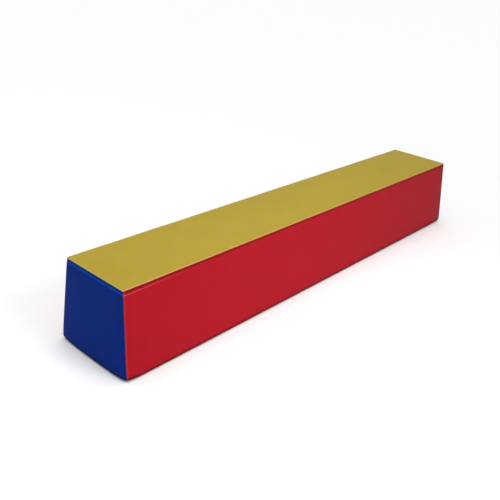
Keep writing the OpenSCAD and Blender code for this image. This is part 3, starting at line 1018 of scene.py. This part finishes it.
stopLook = {
    "brush": (0.0006, 3.0, 0.7),
    "patches": (0.003, 3.0),
    "dull": (0.42, 0.42, 0.44),
    "bright": (0.70, 0.70, 0.71),
    "depth": 0.00003,
}


def stopFinish():
    # Pressed aluminium: brushed by its tool, dulled in patches
    finish = Finish("pressedAluminium")
    brush, patches = finish.noise(*stopLook["brush"]), finish.noise(*stopLook["patches"])
    finish.shade(Base_Color=finish.mix(patches, stopLook["dull"], stopLook["bright"]), Metallic=1.0,
                 Roughness=0.3 + 0.25 * brush, Normal=finish.bump(brush, stopLook["depth"]))
    return finish.material


enamelLook = {
    "rubbed": {"slider": 0.66, "puller": 0.60},  # the lower, the more bare metal shows
    "spots": (0.0028, 4.0, 0.7),
    "peel": (0.0007, 2.0),  # the enamel's slight orange peel
    "black": (0.022, 0.022, 0.025),
    "zinc": (0.46, 0.45, 0.43),
    "depth": 0.00005,
}


def enamelFinish(name, rubbed):
    # Black enamel over die-cast zinc, rubbed through in small spots
    finish = Finish(name)
    spot = finish.ramp(finish.noise(*enamelLook["spots"]), rubbed, rubbed + 0.08)
    peel = finish.noise(*enamelLook["peel"])
    base = finish.mix(spot, enamelLook["black"], enamelLook["zinc"])
    finish.shade(Base_Color=base, Metallic=spot, Roughness=0.28 + 0.2 * spot + 0.08 * peel,
                 Normal=finish.bump(peel - 0.6 * spot, enamelLook["depth"]))
    return finish.material


def dress(material, *nodes):
    # Gives CAD nodes their finish through the objects' own material slots
    for node in nodes:
        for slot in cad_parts[node].material_slots:
            slot.material = material


yellowVinyl, redVinyl, blueVinyl = [vinylFinish(name) for name in ("yellow", "red", "blue")]
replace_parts(foamBlock(foamFinish()), "foam_core")
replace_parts(topPanel(yellowVinyl), "top_panel")
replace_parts(sidePanel("frontSidePanel", "front", -1, redVinyl), "front_side_panel")
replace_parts(sidePanel("rearSidePanel", "rear", 1, redVinyl), "rear_side_panel")
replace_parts(endPanel("nearEndPanel", "near", -1, blueVinyl), "near_end_panel")
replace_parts(endPanel("farEndPanel", "far", 1, blueVinyl), "far_end_panel")
print("panels: made and rolled into their seams")

baseVinyl, wovenTape, blackThread = baseVinylFinish(), tapeFinish(), threadFinish()
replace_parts(basePanel("basePanelFront", -1, baseVinyl), "base_panel_front")
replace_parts(basePanel("basePanelRear", 1, baseVinyl), "base_panel_rear")
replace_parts(zipTape("zipTapeFront", -1, wovenTape), "zip_tape_front")
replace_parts(zipTape("zipTapeRear", 1, wovenTape), "zip_tape_rear")
baseStitches(blackThread)
dress(toothFinish(), "zip_teeth_front", "zip_teeth_rear")
dress(stopFinish(), "zip_top_stops", "zip_bottom_stop")
for plate in ("zip_slider", "zip_slider_back"):
    dress(enamelFinish(plate + "Enamel", enamelLook["rubbed"]["slider"]), plate)
dress(enamelFinish("pullerEnamel", enamelLook["rubbed"]["puller"]), "zip_puller")
print("base: panels, zip and stitches in place")

# The room: a pale floor, a key lamp, light from overhead and the camera
room = {
    "floorSize": 160.0,
    "floorColours": ((0.95, 0.95, 0.95), (0.97, 0.97, 0.97)),
    "floorSpeck": (0.3, 3.0),
    "ambient": 0.62,  # from the whole sky
    "overhead": 1.30,  # from straight above
    "overheadSpread": 40,
    "keyPlace": (-0.4, -2.1, 1.55),
    "keyTarget": (-0.4, -0.1, 0.1),
    "keyRadius": 0.6,
    "keyPower": 110,
    "keyCone": 66,
    "cameraPlace": (-1.8696, -1.3347, 1.1350),
    "cameraTurns": (40.18, 18.99, 4.80),  # heading, dip and roll
    "lens": 48.51,
    "sensor": 36,
    "lensShift": -0.15,  # the lens sits above the middle of the frame
}


def placed(place, side, up, back):
    # The matrix of a lamp or camera at a place, from its three axes; it looks away from back
    turn = Matrix([[side[i], up[i], back[i]] for i in range(3)]).to_4x4()
    return Matrix.Translation(place) @ turn


def keyLamp():
    # A large round lamp whose light fades out towards the edge of its cone
    lamp = bpy.data.lights.new("keyLight", "SPOT")
    lamp.shadow_soft_size, lamp.energy = room["keyRadius"], room["keyPower"]
    lamp.spot_size, lamp.spot_blend = math.radians(room["keyCone"]), 1.0
    holder = newObject("keyLight", lamp)
    holder.visible_camera = False
    back = np.subtract(room["keyPlace"], room["keyTarget"])
    back /= np.linalg.norm(back)
    side = np.cross((0.0, 1.0, 0.001), back)
    side /= np.linalg.norm(side)
    holder.matrix_world = placed(room["keyPlace"], side, np.cross(back, side), back)


def overheadLight():
    # Soft light from straight above, and an even sky
    sun = bpy.data.lights.new("overhead", "SUN")
    sun.energy, sun.angle = room["overhead"], math.radians(room["overheadSpread"])
    newObject("overhead", sun)
    world = bpy.data.worlds.new("studio")
    world.use_nodes = True
    sky = world.node_tree.nodes["Background"]
    sky.inputs["Color"].default_value = (1, 1, 1, 1)
    sky.inputs["Strength"].default_value = room["ambient"]
    bpy.context.scene.world = world


def placeCamera():
    # Looks along the heading and dip, then rolls about that line
    heading, dip, roll = [math.radians(turn) for turn in room["cameraTurns"]]
    level = math.cos(dip)
    look = np.array([math.cos(heading) * level, math.sin(heading) * level, -math.sin(dip)])
    right = np.cross(look, (0, 0, 1))
    right /= np.linalg.norm(right)
    up = np.cross(right, look)
    side = right * math.cos(roll) + up * math.sin(roll)
    rise = up * math.cos(roll) - right * math.sin(roll)
    camera = newObject("camera", bpy.data.cameras.new("camera"))
    camera.data.lens, camera.data.sensor_width = room["lens"], room["sensor"]
    camera.data.shift_y = room["lensShift"]
    camera.matrix_world = placed(room["cameraPlace"], side, rise, -look)
    bpy.context.scene.camera = camera


def makeFloor():
    half = room["floorSize"] / 2
    corners = [(-half, -half, 0), (half, -half, 0), (half, half, 0), (-half, half, 0)]
    mesh = bpy.data.meshes.new("floor")
    mesh.from_pydata(corners, [], [(0, 1, 2, 3)])
    floor = newObject("floor", mesh)
    finish = Finish("floorPaint")
    speck = finish.noise(*room["floorSpeck"])
    finish.shade(Base_Color=finish.mix(speck, *room["floorColours"]), Roughness=0.9)
    mesh.materials.append(finish.material)


makeFloor()
keyLamp()
overheadLight()
placeCamera()
bpy.context.scene.view_settings.view_transform = "Standard"
print("room: floor, lights and camera in place")
